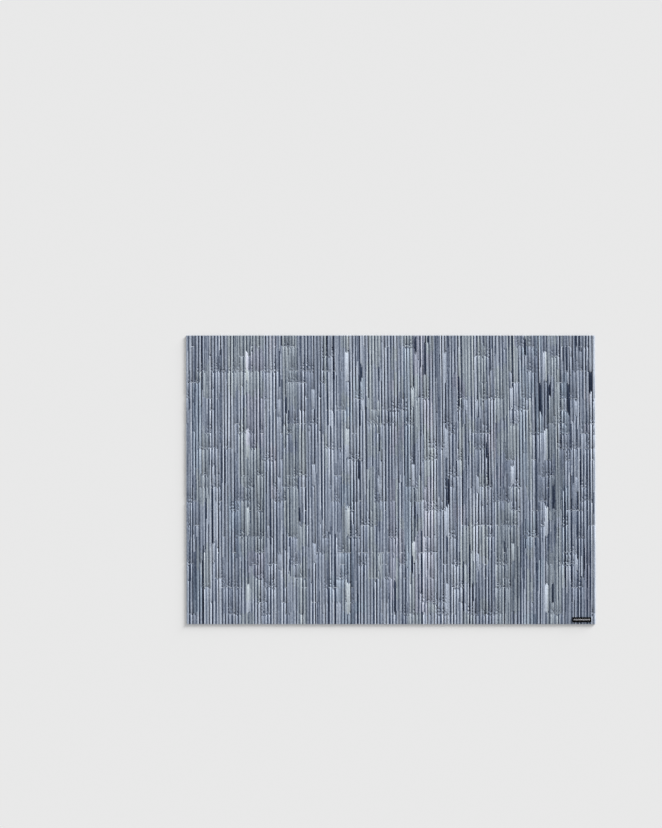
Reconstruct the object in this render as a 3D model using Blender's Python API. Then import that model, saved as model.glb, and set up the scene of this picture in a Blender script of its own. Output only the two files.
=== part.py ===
"""A flat woven placemat with upright cords and a small blank tape label in one corner.

Metres, +Z up. The mat lies flat with its underside at z = 0 and its centre over the origin. Its long side runs
along X, and its cords run along Y, from the near edge (-Y) to the far edge (+Y).
"""

from collections import namedtuple

import bmesh
import bpy
from mathutils import Matrix

# Driving dimensions of the cloth
MAT_LENGTH = 0.483
MAT_WIDTH = 0.341
MAT_THICKNESS = 0.0018
CORD_COUNT = 128
CORD_HEIGHT = 0.0005

# Driving dimensions of the tape label
LABEL_LENGTH = 0.0224
LABEL_WIDTH = 0.0059
LABEL_THICKNESS = 0.0005
LABEL_CORNER_RADIUS = 0.0005
LABEL_FROM_RIGHT_EDGE = 0.0047
LABEL_FROM_NEAR_EDGE = 0.0023
CORNER_STEPS = 3

# What separates two pieces that touch on the real mat
SEAT_GAP = 0.0003

# Colours as linear RGB
MatFinish = namedtuple("MatFinish", "colour roughness")
CLOTH_FINISH = MatFinish((0.20, 0.24, 0.30), 0.50)
LABEL_FINISH = MatFinish((0.008, 0.008, 0.010), 0.60)

# One cord from its left groove to the next one: a high yarn, a low one beside it and the dark groove.
# across is a share of the cord's pitch, and height is a share of CORD_HEIGHT.
CordPoint = namedtuple("CordPoint", "across height")
CORD_SECTION = (
    CordPoint(0.00, 0.00),
    CordPoint(0.12, 0.80),
    CordPoint(0.28, 1.00),
    CordPoint(0.44, 0.55),
    CordPoint(0.72, 0.60),
)

# Every few cords one stands lower, as where its high yarn dives under the cross yarns for a while.
LOW_CORD_EVERY = 5
LOW_CORD_SHARE = 0.7


def clear_scene():
    for leftover in list(bpy.data.objects):
        bpy.data.objects.remove(leftover)


def plain_material(name, finish):
    material = bpy.data.materials.new(name)
    material.use_nodes = True
    surface = material.node_tree.nodes["Principled BSDF"]
    surface.inputs["Base Color"].default_value = (*finish.colour, 1.0)
    surface.inputs["Roughness"].default_value = finish.roughness
    surface.inputs["Metallic"].default_value = 0.0
    return material


def add_object(name, shape, material, collection):
    mesh = bpy.data.meshes.new(name)
    shape.to_mesh(mesh)
    shape.free()
    mesh.materials.append(material)
    made = bpy.data.objects.new(name, mesh)
    collection.objects.link(made)
    return made


def upper_line():
    """The mat's upper outline seen along Y, from left to right, as (x, z) pairs."""
    pitch = MAT_LENGTH / CORD_COUNT
    groove = MAT_THICKNESS - CORD_HEIGHT
    line = []
    for cord in range(CORD_COUNT):
        left = -MAT_LENGTH / 2 + cord * pitch
        share = LOW_CORD_SHARE if cord % LOW_CORD_EVERY == LOW_CORD_EVERY - 1 else 1.0
        for point in CORD_SECTION:
            line.append((left + point.across * pitch, groove + point.height * CORD_HEIGHT * share))
    line.append((MAT_LENGTH / 2, groove))
    return line


def placemat(material, collection):
    """The ribbed outline is drawn down to the flat underside, and that wall is extruded along Y."""
    shape = bmesh.new()
    near = -MAT_WIDTH / 2
    crest = [shape.verts.new((x, near, z)) for x, z in upper_line()]
    edges = [shape.edges.new(pair) for pair in zip(crest, crest[1:])]
    wall = bmesh.ops.extrude_edge_only(shape, edges=edges)["geom"]
    for part in wall:
        if isinstance(part, bmesh.types.BMVert):
            part.co.z = 0.0
    block = bmesh.ops.extrude_face_region(shape, geom=list(shape.faces))["geom"]
    far_points = [part for part in block if isinstance(part, bmesh.types.BMVert)]
    bmesh.ops.translate(shape, verts=far_points, vec=(0.0, MAT_WIDTH, 0.0))
    bmesh.ops.recalc_face_normals(shape, faces=list(shape.faces))
    return add_object("placemat", shape, material, collection)


def label(material, collection):
    """A thin plate with rounded corners, lying on the crests in the near right corner."""
    shape = bmesh.new()
    size = Matrix.Diagonal((LABEL_LENGTH, LABEL_WIDTH, LABEL_THICKNESS, 1.0))
    bmesh.ops.create_cube(shape, size=1.0, matrix=size)
    upright = [e for e in shape.edges if abs(e.verts[0].co.z - e.verts[1].co.z) > LABEL_THICKNESS / 2]
    bmesh.ops.bevel(
        shape,
        geom=upright,
        offset=LABEL_CORNER_RADIUS,
        segments=CORNER_STEPS,
        profile=0.5,
        affect="EDGES",
        material=-1,
    )
    made = add_object("label", shape, material, collection)
    made.location = (
        MAT_LENGTH / 2 - LABEL_FROM_RIGHT_EDGE - LABEL_LENGTH / 2,
        -MAT_WIDTH / 2 + LABEL_FROM_NEAR_EDGE + LABEL_WIDTH / 2,
        MAT_THICKNESS + SEAT_GAP + LABEL_THICKNESS / 2,
    )
    return made


def main():
    clear_scene()
    collection = bpy.data.collections.new("bamboo_placemat")
    bpy.context.scene.collection.children.link(collection)
    placemat(plain_material("woven_yarn", CLOTH_FINISH), collection)
    label(plain_material("label_tape", LABEL_FINISH), collection)


main()
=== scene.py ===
# %% [markdown]
# # A placemat, woven yarn by yarn
#
# The real mat is a cloth of coated yarns. Smooth yarns stand side by side from the near edge to the far one,
# and thinner yarns run across under them and hold them down here and there. Where an upright yarn dives under
# a cross yarn, another colour takes its place, and that gives the broken streaks that look like bamboo.
# One way to copy this is a flat sheet with a striped picture on it. It looks right from far above and flat
# from anywhere else. Here each yarn is a real rod with its own bends, so the shine, the gaps and the cut edges
# come by themselves.

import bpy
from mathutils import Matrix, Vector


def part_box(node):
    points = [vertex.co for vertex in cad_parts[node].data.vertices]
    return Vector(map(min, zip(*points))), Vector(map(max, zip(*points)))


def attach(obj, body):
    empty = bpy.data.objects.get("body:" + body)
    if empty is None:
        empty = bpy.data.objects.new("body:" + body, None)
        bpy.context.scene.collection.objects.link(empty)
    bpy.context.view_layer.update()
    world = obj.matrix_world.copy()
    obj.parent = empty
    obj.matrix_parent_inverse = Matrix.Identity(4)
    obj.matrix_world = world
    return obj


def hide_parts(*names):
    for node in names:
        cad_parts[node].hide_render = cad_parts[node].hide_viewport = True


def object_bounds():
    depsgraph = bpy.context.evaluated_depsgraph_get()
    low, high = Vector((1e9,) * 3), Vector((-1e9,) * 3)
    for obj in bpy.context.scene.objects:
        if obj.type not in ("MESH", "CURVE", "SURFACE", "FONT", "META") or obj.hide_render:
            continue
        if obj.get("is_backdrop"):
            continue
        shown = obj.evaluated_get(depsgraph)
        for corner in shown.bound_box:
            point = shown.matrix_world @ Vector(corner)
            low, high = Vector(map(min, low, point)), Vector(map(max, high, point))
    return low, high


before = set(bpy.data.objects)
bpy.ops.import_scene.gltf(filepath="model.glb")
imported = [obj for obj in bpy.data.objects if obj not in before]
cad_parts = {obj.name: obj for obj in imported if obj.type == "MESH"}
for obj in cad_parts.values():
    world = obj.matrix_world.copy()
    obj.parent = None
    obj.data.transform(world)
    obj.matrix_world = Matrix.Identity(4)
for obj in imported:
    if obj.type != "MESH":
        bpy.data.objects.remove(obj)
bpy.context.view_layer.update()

# %% Imports
import math
import random

import bmesh
import bpy
import numpy as np
from mathutils import Matrix

# %% [markdown]
# ## Measures of the cloth
#
# A weaver counts before weaving. Three upright yarns make one cord: a middle one, a pale one and a dark one.
# The counts come from the stripes on the real mat, and the pitches follow from the size of the solid. The last
# cord isn't whole, because a mat is cut out of a wide cloth wherever its edge falls.
# The cloth has three layers, which share its thickness: back yarns, cross yarns and face yarns.

# %% Counts and pitches
mat_low, mat_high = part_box("placemat")
MAT_LENGTH = mat_high[0] - mat_low[0]
MAT_WIDTH = mat_high[1] - mat_low[1]
YARNS = 383
CORD_YARNS = 3
CORDS = -(-YARNS // CORD_YARNS)
PICKS = 273  # a pick is one cross yarn
YARN_PITCH = MAT_LENGTH / YARNS
PICK_PITCH = MAT_WIDTH / PICKS
print(f"{YARNS} upright yarns {YARN_PITCH * 1000:.2f} mm apart, {PICKS} picks {PICK_PITCH * 1000:.2f} mm apart")

# %% Heights of the layers, in metres above the table
BACK_HEIGHT = 0.00030
CROSS_HEIGHT = 0.00090
DIVE_HEIGHT = 0.00040
FACE_HEIGHTS = (0.00141, 0.00146, 0.00136)  # middle, pale and dark yarn
YARN_HALF_WIDTH, YARN_HALF_HEIGHT = 0.00065, 0.00033
CROSS_HALF_WIDTH, CROSS_HALF_HEIGHT = 0.00058, 0.00025

# %% [markdown]
# ## The camera
#
# The mat is seen from straight above through a long lens, so its outline stays a rectangle. The frame is
# taller than it is wide, so the lens covers the frame's height, and the mat lies a little to the right and
# below the middle.

# %% Camera
FRAME_WIDE, FRAME_HIGH = 662, 828
PIXEL = MAT_LENGTH / 408.5
LENS, SENSOR = 120.0, 36.0
view_centre = ((FRAME_WIDE / 2 - 390.75) * PIXEL, (479.8 - FRAME_HIGH / 2) * PIXEL)
distance = FRAME_HIGH * PIXEL * LENS / SENSOR
camera_data = bpy.data.cameras.new("camera")
camera_data.lens = LENS
camera_data.sensor_width = SENSOR
camera_data.clip_end = 100.0
camera = bpy.data.objects.new("camera", camera_data)
camera.location = (*view_centre, distance)
bpy.context.scene.collection.objects.link(camera)
bpy.context.scene.camera = camera
bpy.context.scene.view_settings.view_transform = "Standard"
print(f"camera {distance:.2f} m above the table")

# %% [markdown]
# ## Which yarn shows where
#
# A loom follows a draft: a table with one column for each upright yarn and one row for each pick. It says
# whether the yarn lies on top and which colour shows. Drawing such a table by hand would take days, so it is
# drawn by chance from a few rules, and a fixed seed makes every run the same. The rules: a cord keeps its look
# until a node row, and only a few cords change there. A single yarn strays a little from its cord's look, and how
# far it strays may change near a node row too. The loom repeats its unit of 31 cords by 73 picks, but half of the
# choices are free, so that the repeat doesn't stand out.

# %% Looks of one cord
# The tone of its middle, pale and dark yarn, from 0 for navy to 1 for the palest grey, and how common it is
LOOKS = {
    "bold": ((0.65, 0.84, 0.00), 36),
    "clear": ((0.62, 0.78, 0.12), 26),
    "soft": ((0.58, 0.66, 0.36), 14),
    "dusk": ((0.46, 0.84, 0.18), 7),
    "dawn": ((0.72, 0.80, 0.02), 8),
    "late": ((0.20, 0.82, 0.56), 9),
}
UNIT_CORDS, UNIT_PICKS = 31, 73
NODE_ROWS = (9, 20, 34, 43, 56, 67)

# Chances at a node row: that a cord changes, that one of its yarns does, that a cord chooses freely instead of
# following the unit, that a changed cord goes back to its own look, that a yarn turns on the row itself and not
# some picks off it, and that it dives where its cord changes
CORD_CHANGES, YARN_CHANGES, FREE_CHOICE, COMES_BACK, ON_THE_ROW, DIVES = 0.12, 0.45, 0.5, 0.6, 0.4, 0.2
OFF_THE_ROW = 5
MIDDLE_TONE = 0.49
PALEST = 0.78


def any_look(rng):
    """Three tones, the common looks more often than the others."""
    tones, chances = zip(*LOOKS.values())
    return rng.choices(tones, chances)[0]


def node_choice(rng):
    """What a cord does at a node row: whether it changes, and its next look."""
    return rng.random() < CORD_CHANGES, any_look(rng)


# %% The draft of the upright yarns
rng = random.Random(7)
unit = {(cord, row): node_choice(rng) for cord in range(UNIT_CORDS) for row in NODE_ROWS}
node_picks = [p for p in range(6, PICKS - 6) if p % UNIT_PICKS in NODE_ROWS]
tone = np.zeros((CORDS * CORD_YARNS, PICKS))
stray = np.zeros_like(tone)
on_top = np.ones_like(tone, bool)


def level(cord, pick):
    """The usual tone of this part of the mat: a little paler in the middle, darker in the near right corner."""
    across, up = cord / CORDS, pick / PICKS
    return 0.477 + 0.16 * across * (1 - across) - 0.04 * across * (1 - up)


def run_of(rng, cord, pick, look):
    """A run's look, and how strongly it shows."""
    across, up = cord / CORDS, pick / PICKS
    usual = 0.78 + 0.16 * across + 0.30 * up - 0.56 * across * up
    return look, min(max(rng.gauss(usual, 0.26), 0.0), 1.3)


for cord in range(CORDS):
    own = now = run_of(rng, cord, PICKS / 2, any_look(rng))
    strays = [rng.gauss(0, 0.12) for _ in range(CORD_YARNS)]
    for row in [0] + node_picks:
        change, look = unit.get((cord % UNIT_CORDS, row % UNIT_PICKS), (False, None))
        if row and rng.random() < FREE_CHOICE:
            change, look = node_choice(rng)
        if change:
            # A cord often comes back to its own look, so some stripes can be followed from edge to edge
            now = own if now is not own and rng.random() < COMES_BACK else run_of(rng, cord, row, look)
        tones, strength = now
        for side in range(CORD_YARNS):
            yarn = CORD_YARNS * cord + side
            first = row if row == 0 or rng.random() < ON_THE_ROW else row + rng.randint(-OFF_THE_ROW, OFF_THE_ROW)
            if rng.random() < YARN_CHANGES:
                strays[side] = 0.6 * strays[side] + rng.gauss(0, 0.085 + 0.03 * cord / CORDS)
            if row and change and rng.random() < DIVES:
                on_top[yarn, first] = False
            tone[yarn, first:] = level(cord, row) + (tones[side] - MIDDLE_TONE) * strength
            stray[yarn, first:] = strays[side]
# Neighbours seldom stray the same way, which keeps the stripes crisp, and no yarn is quite white
tone += stray - 0.2 * (np.roll(stray, 1, 0) + np.roll(stray, -1, 0))
tone = np.where(tone > PALEST, PALEST + (tone - PALEST) * 0.5, tone)
print(f"upright yarns on top at {on_top.mean():.0%} of the crossings")

# %% [markdown]
# ## Tints
#
# Most of the cloth has one cool grey-blue. Here and there a few cords lean towards olive, rose or sea green, and
# such a patch begins and ends near node rows. The table holds one number for each of red, green and blue, and the
# yarn's own colour is multiplied by them. The olive patches are also a little paler and calmer than the rest.

# %% Tinted patches
GOES_ON = 0.65  # the chance that a patch lasts until the next node row
TINTS = (  # red, green and blue; bands, their widths in yarns, chance at a node row, contrast and lift
    ((1.0, 1.0, 0.925), 31, (4, 15), 0.35, 0.8, 0.035),
    ((1.055, 1.0, 1.0), 14, (6, 18), 0.10, 1.0, -0.02),
    ((0.955, 1.0, 1.0), 10, (5, 14), 0.15, 1.0, 0.0),
)
tint = np.ones((*tone.shape, 3))
for colour, bands, widths, chance, contrast, lift in TINTS:
    for _ in range(bands):
        first, wide, tinted = rng.randrange(YARNS), rng.randrange(*widths), False
        for row, end in zip([0] + node_picks, node_picks + [PICKS]):
            tinted = rng.random() < (GOES_ON if tinted else chance)
            if tinted:
                patch = np.s_[first:first + wide, row:end]
                tint[patch] = colour
                tone[patch] = 0.5 + (tone[patch] - 0.5) * contrast + lift
print(f"olive on {(tint[..., 2] < 1).mean():.0%} of the cloth")

# %% [markdown]
# ## Nodes
#
# Bamboo has rings, and the cloth has their echo: short dashes, dotted lines and patches of dots, always on a node
# row. A dash is one cross yarn that runs over a few upright yarns, and a dotted line is one that shows between
# them here and there. Dots in a patch are a little plain weave, over one and under one, for a few picks.

# %% Dashes and dots
# For each kind its chance, then how many yarns it spans and the share of them that it covers. Dots have the
# heights of their patches and the steps between dives, both in picks.
LINE_CHANCE, LINE_YARNS, LINE_SHARE = 0.4, (20, 80), 0.35
DASH_CHANCE, DASH_YARNS, DASH_SHARE = 0.12, (2, 9), 0.6
DOTS_CHANCE, DOTS_HEIGHTS, DOTS_STEPS = 0.20, (2, 3, 4, 6, 9), (2, 3, 3, 4)


def cross_shows(rng, first, yarns, row, share):
    """A cross yarn runs over this share of the yarns beside each other."""
    for yarn in range(first, min(first + yarns, YARNS)):
        on_top[yarn, row] &= rng.random() > share


for row in node_picks:
    if rng.random() < LINE_CHANCE:
        cross_shows(rng, rng.randrange(YARNS), rng.randrange(*LINE_YARNS), row, LINE_SHARE)
    cord = 0
    while cord < CORDS:
        wide = rng.choice((1, 2, 3, 3, 4, 5))
        chance = rng.random()
        first = CORD_YARNS * cord + rng.randrange(CORD_YARNS)
        if chance < DASH_CHANCE:
            cross_shows(rng, first, rng.randrange(*DASH_YARNS), row, DASH_SHARE)
        elif chance < DASH_CHANCE + DOTS_CHANCE:
            for yarn in range(first, min(first + CORD_YARNS * wide, YARNS)):
                pick, last = row + rng.randint(-1, 1), min(row + rng.choice(DOTS_HEIGHTS), PICKS)
                while pick < last:
                    on_top[yarn, pick] = False
                    pick += rng.choice(DOTS_STEPS)
        cord += wide

# %% [markdown]
# ## Wide streaks
#
# The eye goes to the streaks where two or three neighbours show the same colour. Three kinds of pale streak
# come back once in every unit of the loom. The dark ones are scattered, and there are more of them towards
# the right.

# %% Pale and dark streaks
PALE_STREAKS = (  # first yarn and first pick in the unit, how many yarns and picks, and the tone
    (56, 10, 2, 28, 0.87),
    (24, 58, 2, 19, 0.80),
    (85, 51, 2, 15, 0.72),
)
UNIT_YARNS = UNIT_CORDS * CORD_YARNS
SHORTEST_STREAK = 6  # picks
DARK_TRIES = 90


def lay_streak(first_yarn, first_pick, yarns, picks, shade, ragged):
    """Neighbouring yarns show one tone for some picks, and dive where it ends."""
    for yarn in range(first_yarn, min(first_yarn + yarns, YARNS)):
        start = first_pick + rng.randint(-ragged, ragged)
        end = min(first_pick + picks + rng.randint(-ragged, ragged), PICKS - 1)
        if start < 0 or end - start < SHORTEST_STREAK:
            continue
        tone[yarn, start:end] = shade + rng.gauss(0, 0.05)
        on_top[yarn, start:end] = True
        on_top[yarn, [start, end]] = False


for first_yarn, first_pick, yarns, picks, pale in PALE_STREAKS:
    for yarn in range(first_yarn, YARNS, UNIT_YARNS):
        shade, wide = pale + rng.uniform(-0.06, 0.06), yarns + rng.choice((0, 0, 1))
        for pick in range(first_pick, PICKS, UNIT_PICKS):
            lay_streak(yarn, pick, wide, picks, shade, ragged=1)
for _ in range(DARK_TRIES):
    yarn, pick, picks = rng.randrange(YARNS - 3), rng.randrange(PICKS), rng.randrange(10, 30)
    if rng.random() < 0.15 + 0.7 * (yarn / YARNS) ** 3:
        lay_streak(yarn, pick, rng.choice((1, 2, 2)), picks, rng.uniform(0.06, 0.22), ragged=2)
print(f"tones from {tone.min():.2f} to {tone.max():.2f}, {(~on_top).sum()} dives")

# %% [markdown]
# ## From draft to rods
#
# A yarn is a rod that bends at some picks. A hexagonal cylinder is a good start, because six sides look round
# at this size once they are shaded smooth. Its long edges are cut as often as the yarn has bends, and each
# ring of points then moves to its place. That costs a ring only where something happens, while a ring at every
# pick would make well over a million triangles.

# %% One rod
SIDES = 6


def side_of(x, z):
    """Which of the rod's six corners or sides lies in this direction, counted from +X."""
    return round(math.atan2(z, x) / math.tau * SIDES * 2) % (SIDES * 2)


def make_rod(path, half_wide, half_high, tones, tints, slot):
    """A closed rod along +Y with a ring at each (x, y, z) of path, and what the finish needs to know of it."""
    rod = bmesh.new()
    lying = Matrix.Rotation(-math.pi / 2, 4, "X") @ Matrix.Rotation(math.pi / 2, 4, "Z")
    bmesh.ops.create_cone(rod, cap_ends=True, segments=SIDES, radius1=1, radius2=1, depth=1, matrix=lying)
    long_edges = [e for e in rod.edges if abs(e.verts[0].co.y - e.verts[1].co.y) > 0.5]
    steps = len(path) - 1
    bmesh.ops.subdivide_edges(rod, edges=long_edges, cuts=steps - 1, use_grid_fill=True)
    corner = rod.verts.layers.int.new("corner")
    side = rod.faces.layers.int.new("side")
    place = rod.faces.layers.int.new("slot")
    shade = rod.faces.layers.float.new("tone")
    colour = rod.faces.layers.float_vector.new("tint")
    for face in rod.faces:
        middle = face.calc_center_median()
        cap = len(face.verts) > 4
        face.smooth = not cap
        step = min(int((middle.y + 0.5) * steps), steps - 1)
        face[side] = -1 if cap else side_of(middle.x, middle.z)
        face[place], face[shade], face[colour] = slot, tones[step], tints[step]
        if cap:
            for edge in face.edges:
                edge.smooth = False
    for vert in rod.verts:
        x, y, z = path[round((vert.co.y + 0.5) * steps)]
        vert[corner] = side_of(vert.co.x, vert.co.z)
        vert.co = (x + half_wide * vert.co.x, y, z + half_high * vert.co.z)
    return rod


# %% Many rods in one piece
def gather(name, rods, material):
    """Joins rods into one mesh object that rides on the frame."""
    whole = bmesh.new()
    for rod in rods:
        mesh = bpy.data.meshes.new("rod")
        rod.to_mesh(mesh)
        rod.free()
        whole.from_mesh(mesh)
        bpy.data.meshes.remove(mesh)
    mesh = bpy.data.meshes.new(name)
    whole.to_mesh(mesh)
    whole.free()
    return add_piece(name, mesh, material)


def add_piece(name, mesh, material):
    """A mesh becomes a piece of the mat: linked, finished and riding on its body."""
    mesh.materials.append(material)
    piece = bpy.data.objects.new(name, mesh)
    bpy.context.scene.collection.objects.link(piece)
    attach(piece, "root")
    mesh.calc_loop_triangles()
    print(f"{name}: {len(mesh.loop_triangles)} triangles")
    return piece


# %% [markdown]
# ## A map for the bake
#
# When this model is exported, its colours are painted onto a picture, and that needs a map of where each face
# goes. Thousands of thin rods make a poor automatic map. A rod knows better: each gets a straight lane, its
# six sides side by side in it, so that no two faces meet and none is squeezed.

# %% Lanes for the rods
def lay_lanes(piece, lanes, along):
    """Writes the map. along is 0 where the rods run along X and 1 where they run along Y."""
    mesh = piece.data
    corners, faces = len(mesh.loops), len(mesh.polygons)
    vert_of = np.empty(corners, int)
    mesh.loops.foreach_get("vertex_index", vert_of)
    sizes = np.empty(faces, int)
    mesh.polygons.foreach_get("loop_total", sizes)
    places = np.empty(len(mesh.vertices) * 3)
    mesh.vertices.foreach_get("co", places)
    run = places.reshape(-1, 3)[:, along]
    run = (run - run.min()) / (run.max() - run.min())

    def read(name, count):
        values = np.empty(count, int)
        mesh.attributes[name].data.foreach_get("value", values)
        return values

    corner = read("corner", len(mesh.vertices))[vert_of]
    side, slot = np.repeat(read("side", faces), sizes), np.repeat(read("slot", faces), sizes)
    # A side's number is odd, between the even numbers of its two corners
    step = (corner - (side - 1)) % (2 * SIDES) / 2
    across = 0.04 + 0.92 * ((side - 1) % (2 * SIDES) / 2 + step) / SIDES
    up = 0.008 + 0.984 * run[vert_of]
    # The two cut ends have a little room of their own at the ends of the lane
    capped, turn = side < 0, corner * math.pi / SIDES
    across = np.where(capped, 0.5 + 0.42 * np.cos(turn), across)
    up = np.where(capped, 0.0035 + 0.993 * (up > 0.5) + 0.003 * np.sin(turn), up)
    layer = mesh.uv_layers.new(name="OFBake")
    layer.data.foreach_set("uv", np.stack([(slot + across) / lanes, up], 1).ravel())
    for name in ("corner", "side", "slot"):
        mesh.attributes.remove(mesh.attributes[name])


# %% [markdown]
# ## Finishes
#
# All yarns have the same skin: a smooth coating with a soft shine. Giving each yarn a material of its own would
# take hundreds of them. One serves them all, because it reads two things that each face carries: its tone, from
# navy to pale grey, and its tint, which leans that colour a little towards olive, rose or sea green. Writing the
# maths of a material as plain arithmetic keeps it readable, so a small class wraps a node's output and lets
# Python add and multiply it.

# %% Shader maths
class Wire:
    """One output of a node, which takes part in sums as a number does."""

    def __init__(self, finish, socket):
        self.finish, self.socket = finish, socket

    def _sum(self, operation, *values):
        sockets = dict(enumerate(values))
        return self.finish.node("ShaderNodeMath", {"operation": operation}, sockets)

    def __add__(self, other):
        return self._sum("ADD", self, other)

    def __sub__(self, other):
        return self._sum("SUBTRACT", self, other)

    def __rsub__(self, other):
        return self._sum("SUBTRACT", other, self)

    def __mul__(self, other):
        return self._sum("MULTIPLY", self, other)

    __radd__, __rmul__ = __add__, __mul__


class Finish:
    """A material under construction."""

    def __init__(self, name):
        self.material = bpy.data.materials.new(name)
        self.material.use_nodes = True
        self.tree = self.material.node_tree
        self.surface = self.tree.nodes["Principled BSDF"]

    def node(self, kind, settings=None, sockets=None, output=0):
        """Adds a node: its settings first, then its sockets, each a value or another node's Wire."""
        node = self.tree.nodes.new(kind)
        for name, value in (settings or {}).items():
            if name == "stops":
                self._colour_stops(node.color_ramp, value)
            else:
                setattr(node, name, value)
        self.feed(node, sockets or {})
        return Wire(self, node.outputs[output])

    def feed(self, node, sockets):
        for name, value in sockets.items():
            if isinstance(value, Wire):
                self.tree.links.new(value.socket, node.inputs[name])
            else:
                node.inputs[name].default_value = value

    def _colour_stops(self, ramp, stops):
        while len(ramp.elements) < len(stops):
            ramp.elements.new(1.0)
        for element, (place, colour) in zip(ramp.elements, stops):
            element.position, element.color = place, (*colour, 1.0)

    def skin(self, **sockets):
        """Sets the surface's own sockets."""
        self.feed(self.surface, {name.replace("_", " "): value for name, value in sockets.items()})
        return self.material


# %% [markdown]
# The ramp below runs from navy to the palest grey-blue. Picking colours from a screen gives values with the
# screen's curve in them, and a shader wants light itself, so a short helper takes the curve out.

# %% Yarn colours
def light(red, green, blue):
    """Linear light from the 0 to 255 values that a screen shows."""
    return tuple(((c / 255 + 0.055) / 1.055) ** 2.4 if c > 10 else c / 255 / 12.92 for c in (red, green, blue))


YARN_STOPS = [
    (0.0, light(3, 16, 42)),
    (0.25, light(46, 59, 82.5)),
    (0.5, light(118, 128.5, 147.2)),
    (0.75, light(167, 177, 193.2)),
    (1.0, light(212, 221, 234)),
]


# %% The coated yarn
# Three noises change the tone a little: slow drift along a yarn, fine grain, and wide patches of the cloth. Each
# has its scale and its strength.
DRIFT_SCALE, DRIFT = 24.0, 0.12
GRAIN_SCALE, GRAIN = 420.0, 0.5
PATCH_SCALE, PATCH = 34.0, 0.25


def coated_yarn(name, stretch):
    """stretch is how much finer the pattern is along X, Y and Z than along the yarn."""
    finish = Finish(name)
    here = finish.node("ShaderNodeTexCoord", output="Object")
    along = finish.node("ShaderNodeMapping", sockets={"Vector": here, "Scale": stretch})
    far_along = finish.node("ShaderNodeMapping", sockets={"Vector": along, "Scale": stretch})
    drift = finish.node("ShaderNodeTexNoise", sockets={"Vector": far_along, "Scale": DRIFT_SCALE, "Detail": 3.0})
    grain = finish.node("ShaderNodeTexNoise", sockets={"Vector": along, "Scale": GRAIN_SCALE, "Detail": 2.0})
    shade = finish.node("ShaderNodeAttribute", {"attribute_name": "tone"}, output="Fac")
    tint = finish.node("ShaderNodeAttribute", {"attribute_name": "tint"}, output="Vector")
    flat = finish.node("ShaderNodeMapping", sockets={"Vector": here, "Scale": (1.0, 0.15, 1.0)})
    patch = finish.node("ShaderNodeTexNoise", sockets={"Vector": flat, "Scale": PATCH_SCALE, "Detail": 0.0})
    shade = shade + (drift - 0.5) * DRIFT + (grain - 0.5) * GRAIN + (patch - 0.5) * PATCH
    own = finish.node("ShaderNodeValToRGB", {"stops": YARN_STOPS}, {"Fac": shade})
    colour = finish.node(
        "ShaderNodeMix", {"data_type": "RGBA", "blend_type": "MULTIPLY"}, {"Factor": 1.0, 6: own, 7: tint}, output=2
    )
    bump = finish.node("ShaderNodeBump", sockets={"Strength": 0.25, "Distance": 0.00004, "Height": grain})
    return finish.skin(
        Base_Color=colour,
        Roughness=0.36 + (drift - 0.5) * 0.2,
        Normal=bump,
        Specular_IOR_Level=0.3,
    )


upright_finish = coated_yarn("coated_yarn", (3.0, 1.0, 3.0))
cross_finish = coated_yarn("coated_cross_yarn", (1.0, 3.0, 3.0))

# %% [markdown]
# ## The upright yarns
#
# A real cloth is never quite square: these cords lean and bow by a millimetre or two from edge to edge. The
# lean fades out at the two sides, where the mat was cut straight along a cord.

# %% Where an upright yarn goes
# In metres, for the middle of the mat and for how it changes towards the right
SHIFT, TILT, BOW = (0.00109, 0.00035, -0.00094), (-0.00130, -0.00029), (-0.00038, -0.00053)


def lean(x, y):
    """How far the cords stand off to the side at this place."""
    u, t = 2 * x / MAT_LENGTH, 2 * y / MAT_WIDTH
    shift = SHIFT[0] + SHIFT[1] * u + SHIFT[2] * u * u
    tilt, bow = TILT[0] + TILT[1] * u, BOW[0] + BOW[1] * u
    return (shift + tilt * t + bow * t * t) * (1 - 0.7 * abs(u) ** 12)


def kept_picks(row_on_top, rng, longest=13):
    """The picks where a yarn needs a ring: at each dive, beside it, and now and then on a long float."""
    dives = np.flatnonzero(~row_on_top)
    wanted = {0, PICKS - 1} | {p + d for p in dives for d in (-1, 0, 1) if 0 <= p + d < PICKS}
    kept = []
    for pick in sorted(wanted):
        while kept and pick - kept[-1] > longest + 4:
            kept.append(kept[-1] + rng.randrange(longest - 4, longest))
        kept.append(pick)
    return kept


def upright_path(yarn, height, picks, row_on_top, rng):
    """Ring places from the near edge to the far one, and the pick that each ring belongs to."""
    middle_x = mat_low[0] + (yarn + 0.5) * YARN_PITCH
    path, owners = [], []
    for pick in picks:
        y = mat_low[1] + (pick + 0.5) * PICK_PITCH
        z = height if row_on_top[pick] else DIVE_HEIGHT
        x = middle_x + lean(middle_x, y) + rng.gauss(0, 0.00002)
        path.append((x, y, z + rng.gauss(0, 0.00001)))
        owners.append(pick)
    path.insert(0, (path[0][0], mat_low[1], path[0][2]))
    path.append((path[-1][0], mat_high[1], path[-1][2]))
    return path, [owners[0]] + owners


# %% Weave the face
for side, name in enumerate(("middle_yarns", "pale_yarns", "dark_yarns")):
    rng = random.Random(20 + side)
    rods = []
    for slot, yarn in enumerate(range(side, YARNS, CORD_YARNS)):
        picks = kept_picks(on_top[yarn], rng)
        path, owners = upright_path(yarn, FACE_HEIGHTS[side], picks, on_top[yarn], rng)
        rods.append(make_rod(
            path, YARN_HALF_WIDTH, YARN_HALF_HEIGHT, tone[yarn, owners], tint[yarn, owners], slot
        ))
    piece = gather(name, rods, upright_finish)
    lay_lanes(piece, CORDS, along=1)

# %% [markdown]
# ## The cross yarns and the back
#
# The cross yarns run straight through the middle of the cloth. The back has its own upright yarns, which are
# what a diving yarn changes places with. Nobody sees much of them, so they are plain: a few long floats each,
# held by a cross yarn now and then.

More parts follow.
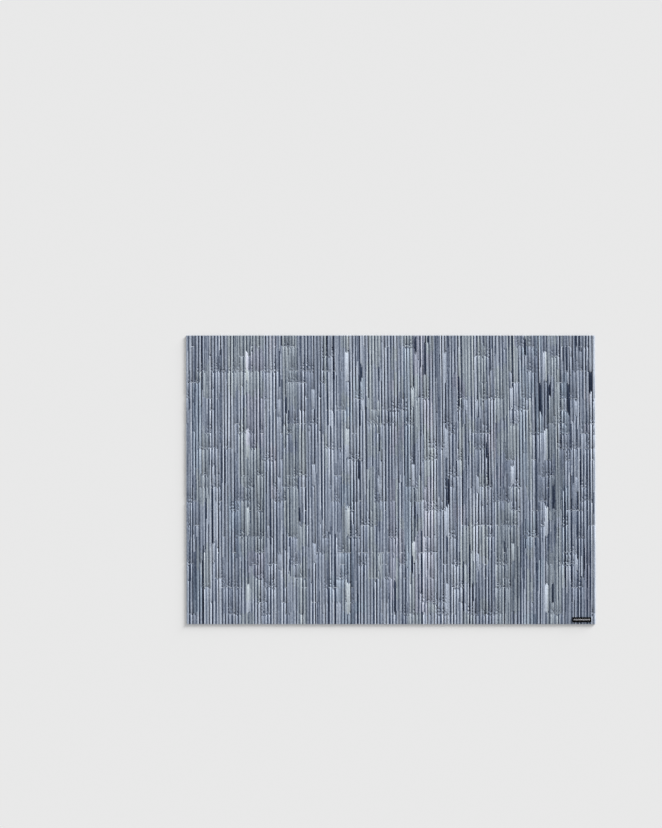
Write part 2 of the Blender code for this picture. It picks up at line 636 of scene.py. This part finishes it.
# %% Cross yarns
CROSS_STEPS = 8
CROSS_TONE, NODE_TONE = 0.62, 0.92
PLAIN = (1.0, 1.0, 1.0)
rng = random.Random(31)
rods = []
for pick in range(PICKS):
    y = mat_low[1] + (pick + 0.5) * PICK_PITCH
    # A rod is made along +Y, so a quarter turn afterwards lays it across the cloth.
    path = []
    for x in np.linspace(mat_low[0], mat_high[0], CROSS_STEPS + 1):
        path.append((-y - rng.gauss(0, 0.00001), x + lean(x, y), CROSS_HEIGHT))
    shades = [rng.gauss(NODE_TONE if pick in node_picks else CROSS_TONE, 0.04)] * CROSS_STEPS
    rod = make_rod(path, CROSS_HALF_WIDTH, CROSS_HALF_HEIGHT, shades, [PLAIN] * CROSS_STEPS, pick)
    bmesh.ops.rotate(rod, verts=rod.verts, matrix=Matrix.Rotation(-math.pi / 2, 3, "Z"))
    rods.append(rod)
cross_yarns = gather("cross_yarns", rods, cross_finish)
lay_lanes(cross_yarns, PICKS, along=0)

# %% Back yarns
BACK_RISE = 0.00070
BACK_HALF_WIDTH, BACK_HALF_HEIGHT = 0.00057, 0.00028
HELD = 0.3  # how often a cross yarn holds a back yarn at a node row
rng = random.Random(43)
rods = []
for yarn in range(YARNS):
    held = np.ones(PICKS, bool)
    held[[p for p in node_picks if rng.random() < HELD]] = False
    picks = kept_picks(held, rng, longest=30)
    path, owners = upright_path(yarn, 0, picks, held, rng)
    path = [(x, y, BACK_HEIGHT if z < DIVE_HEIGHT / 2 else BACK_RISE) for x, y, z in path]
    shades = tone[YARNS - 1 - yarn, owners]
    rods.append(make_rod(path, BACK_HALF_WIDTH, BACK_HALF_HEIGHT, shades, tint[yarn, owners], yarn))
back_yarns = gather("back_yarns", rods, upright_finish)
lay_lanes(back_yarns, YARNS, along=1)

# %% [markdown]
# ## The label
#
# A short piece of black tape lies across the cords in the near right corner. It is a thin plate with rounded
# corners, sliced across so that it can dip a little between the cords below, as soft tape does. Its face is
# left without words. In their place runs a row of pale slanting stitches, about as wide as a line of small
# print.

# %% The tape
label_low, label_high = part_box("label")
LABEL_X, LABEL_Y = (label_low[0] + label_high[0]) / 2, (label_low[1] + label_high[1]) / 2
TAPE_LONG, TAPE_WIDE = label_high[0] - label_low[0], label_high[1] - label_low[1]
TAPE_UNDER, TAPE_TOP = 0.00181, 0.00242
TAPE_CORNER, TAPE_RIM = 0.0006, 0.00012
SAG = 0.00005

tape = bmesh.new()
size = Matrix.Diagonal((TAPE_LONG, TAPE_WIDE, TAPE_TOP - TAPE_UNDER, 1))
bmesh.ops.create_cube(tape, size=1, matrix=size)
upright = [e for e in tape.edges if abs(e.verts[0].co.z - e.verts[1].co.z) > 1e-4]
bmesh.ops.bevel(tape, geom=upright, offset=TAPE_CORNER, segments=5, profile=0.5, affect="EDGES", material=-1)
rim = [e for e in tape.edges if abs(e.verts[0].co.z - e.verts[1].co.z) < 1e-6 and len(e.link_faces) == 2]
bmesh.ops.bevel(tape, geom=rim, offset=TAPE_RIM, segments=2, profile=0.5, affect="EDGES", material=-1)
for cut in np.arange(-TAPE_LONG / 2 + YARN_PITCH / 4, TAPE_LONG / 2, YARN_PITCH / 4):
    bmesh.ops.bisect_plane(
        tape, geom=tape.verts[:] + tape.edges[:] + tape.faces[:], plane_co=(cut, 0, 0), plane_no=(1, 0, 0)
    )
for vert in tape.verts:
    vert.co.z += SAG * math.cos(vert.co.x / (3 * YARN_PITCH) * math.tau)
bmesh.ops.translate(tape, verts=tape.verts, vec=(LABEL_X, LABEL_Y, (TAPE_UNDER + TAPE_TOP) / 2))
for face in tape.faces:
    face.smooth = True
tape_mesh = bpy.data.meshes.new("label_tape")
tape.to_mesh(tape_mesh)
tape.free()
tape_mesh.set_sharp_from_angle(angle=math.radians(40))

# %% The tape's finish
# Fine ribs across the tape and finer ones along it, as in a close plain weave
tape_finish = Finish("black_tape")
here = tape_finish.node("ShaderNodeTexCoord", output="Object")
ribs = tape_finish.node(
    "ShaderNodeTexWave", {"bands_direction": "X"}, {"Vector": here, "Scale": 900.0, "Distortion": 0.6}
)
threads = tape_finish.node(
    "ShaderNodeTexWave", {"bands_direction": "Y"}, {"Vector": here, "Scale": 700.0, "Distortion": 0.6}
)
weave = ribs * threads
# The weave's heights also set the tape's colour: painted shade between the threads and a painted highlight on their
# crests
TAPE_SHADED_HOLLOW, TAPE_LIT_CREST = (0.001, 0.001, 0.001, 1), (0.006, 0.006, 0.007, 1)
tape_colour_and_shade = tape_finish.node(
    "ShaderNodeMix", {"data_type": "RGBA"}, {"Factor": weave, 6: TAPE_SHADED_HOLLOW, 7: TAPE_LIT_CREST}, output=2
)
tape_bump = tape_finish.node("ShaderNodeBump", sockets={"Strength": 0.5, "Distance": 0.00005, "Height": weave})
label_tape = add_piece(
    "label_tape",
    tape_mesh,
    tape_finish.skin(Base_Color=tape_colour_and_shade, Roughness=0.85, Normal=tape_bump, Specular_IOR_Level=0.06),
)

# %% The stitches
STITCHES, STITCH_PITCH, STITCH_REACH, STITCH_SLANT = 17, 0.00115, 0.00085, 0.00028
STITCH_HALF_WIDTH, STITCH_HALF_HEIGHT, STITCH_RISE, STITCH_SINK = 0.00022, 0.00014, 0.00022, 0.0001
thread_finish = Finish("pale_thread")
here = thread_finish.node("ShaderNodeTexCoord", output="Object")
twist = thread_finish.node(
    "ShaderNodeTexWave", {"bands_direction": "DIAGONAL"}, {"Vector": here, "Scale": 1500.0, "Distortion": 1.0}
)
# The twist's heights also set the thread's colour: painted shade in its grooves and a painted highlight on its
# ridges
THREAD_SHADED_GROOVE, THREAD_LIT_RIDGE = (0.55, 0.55, 0.58, 1), (0.80, 0.80, 0.84, 1)
thread_colour_and_shade = thread_finish.node(
    "ShaderNodeMix", {"data_type": "RGBA"}, {"Factor": twist, 6: THREAD_SHADED_GROOVE, 7: THREAD_LIT_RIDGE}, output=2
)
thread_bump = thread_finish.node("ShaderNodeBump", sockets={"Strength": 0.4, "Distance": 0.00003, "Height": twist})
rods = []
for number in range(STITCHES):
    x = LABEL_X + (number - (STITCHES - 1) / 2) * STITCH_PITCH
    path = []
    for share in (-1.0, -0.86, -0.5, 0.0, 0.5, 0.86, 1.0):
        height = TAPE_TOP - STITCH_SINK + STITCH_RISE * (1 - share ** 4)
        path.append((x + STITCH_SLANT * share, LABEL_Y + STITCH_REACH * share, height))
    rods.append(make_rod(path, STITCH_HALF_WIDTH, STITCH_HALF_HEIGHT, [0.9] * 6, [PLAIN] * 6, number))
thread = thread_finish.skin(Base_Color=thread_colour_and_shade, Roughness=0.6, Normal=thread_bump)
label_stitches = gather("label_stitches", rods, thread)
lay_lanes(label_stitches, STITCHES, along=1)

# %% [markdown]
# ## Table and light
#
# A pale table and an even sky give the mat its calm look. One wide, low light from the far right adds the soft
# shadow along the left and the near edge, and a shine along the yarns. The broader the light, the softer the
# shadow's edge.

# %% Table
table = bmesh.new()
bmesh.ops.create_grid(table, x_segments=1, y_segments=1, size=8)
table_mesh = bpy.data.meshes.new("table")
table.to_mesh(table_mesh)
table.free()
table_finish = Finish("table")
table_mesh.materials.append(table_finish.skin(Base_Color=(0.8, 0.8, 0.8, 1), Roughness=0.9, Specular_IOR_Level=0.0))
table_top = bpy.data.objects.new("table", table_mesh)
bpy.context.scene.collection.objects.link(table_top)
table_top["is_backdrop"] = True

# %% Light
SKY_STRENGTH, WINDOW_STRENGTH = 0.60, 5.8
WINDOW_WIDE, WINDOW_HIGH, WINDOW_FROM = 24, 13, 135  # degrees: how wide, how high above the table, from where
world = bpy.data.worlds.new("sky")
world.use_nodes = True
sky = world.node_tree.nodes["Background"]
sky.inputs["Color"].default_value = (1, 1, 1, 1)
sky.inputs["Strength"].default_value = SKY_STRENGTH
bpy.context.scene.world = world
lamp_data = bpy.data.lights.new("window", "SUN")
lamp_data.energy = WINDOW_STRENGTH
lamp_data.angle = math.radians(WINDOW_WIDE)
lamp = bpy.data.objects.new("window", lamp_data)
lamp.rotation_euler = (math.radians(90 - WINDOW_HIGH), 0, math.radians(WINDOW_FROM))
bpy.context.scene.collection.objects.link(lamp)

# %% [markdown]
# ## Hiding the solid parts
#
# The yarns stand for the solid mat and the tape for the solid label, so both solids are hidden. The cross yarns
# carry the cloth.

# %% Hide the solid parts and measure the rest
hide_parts("placemat")
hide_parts("label")
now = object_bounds()
print("visual box:", now)
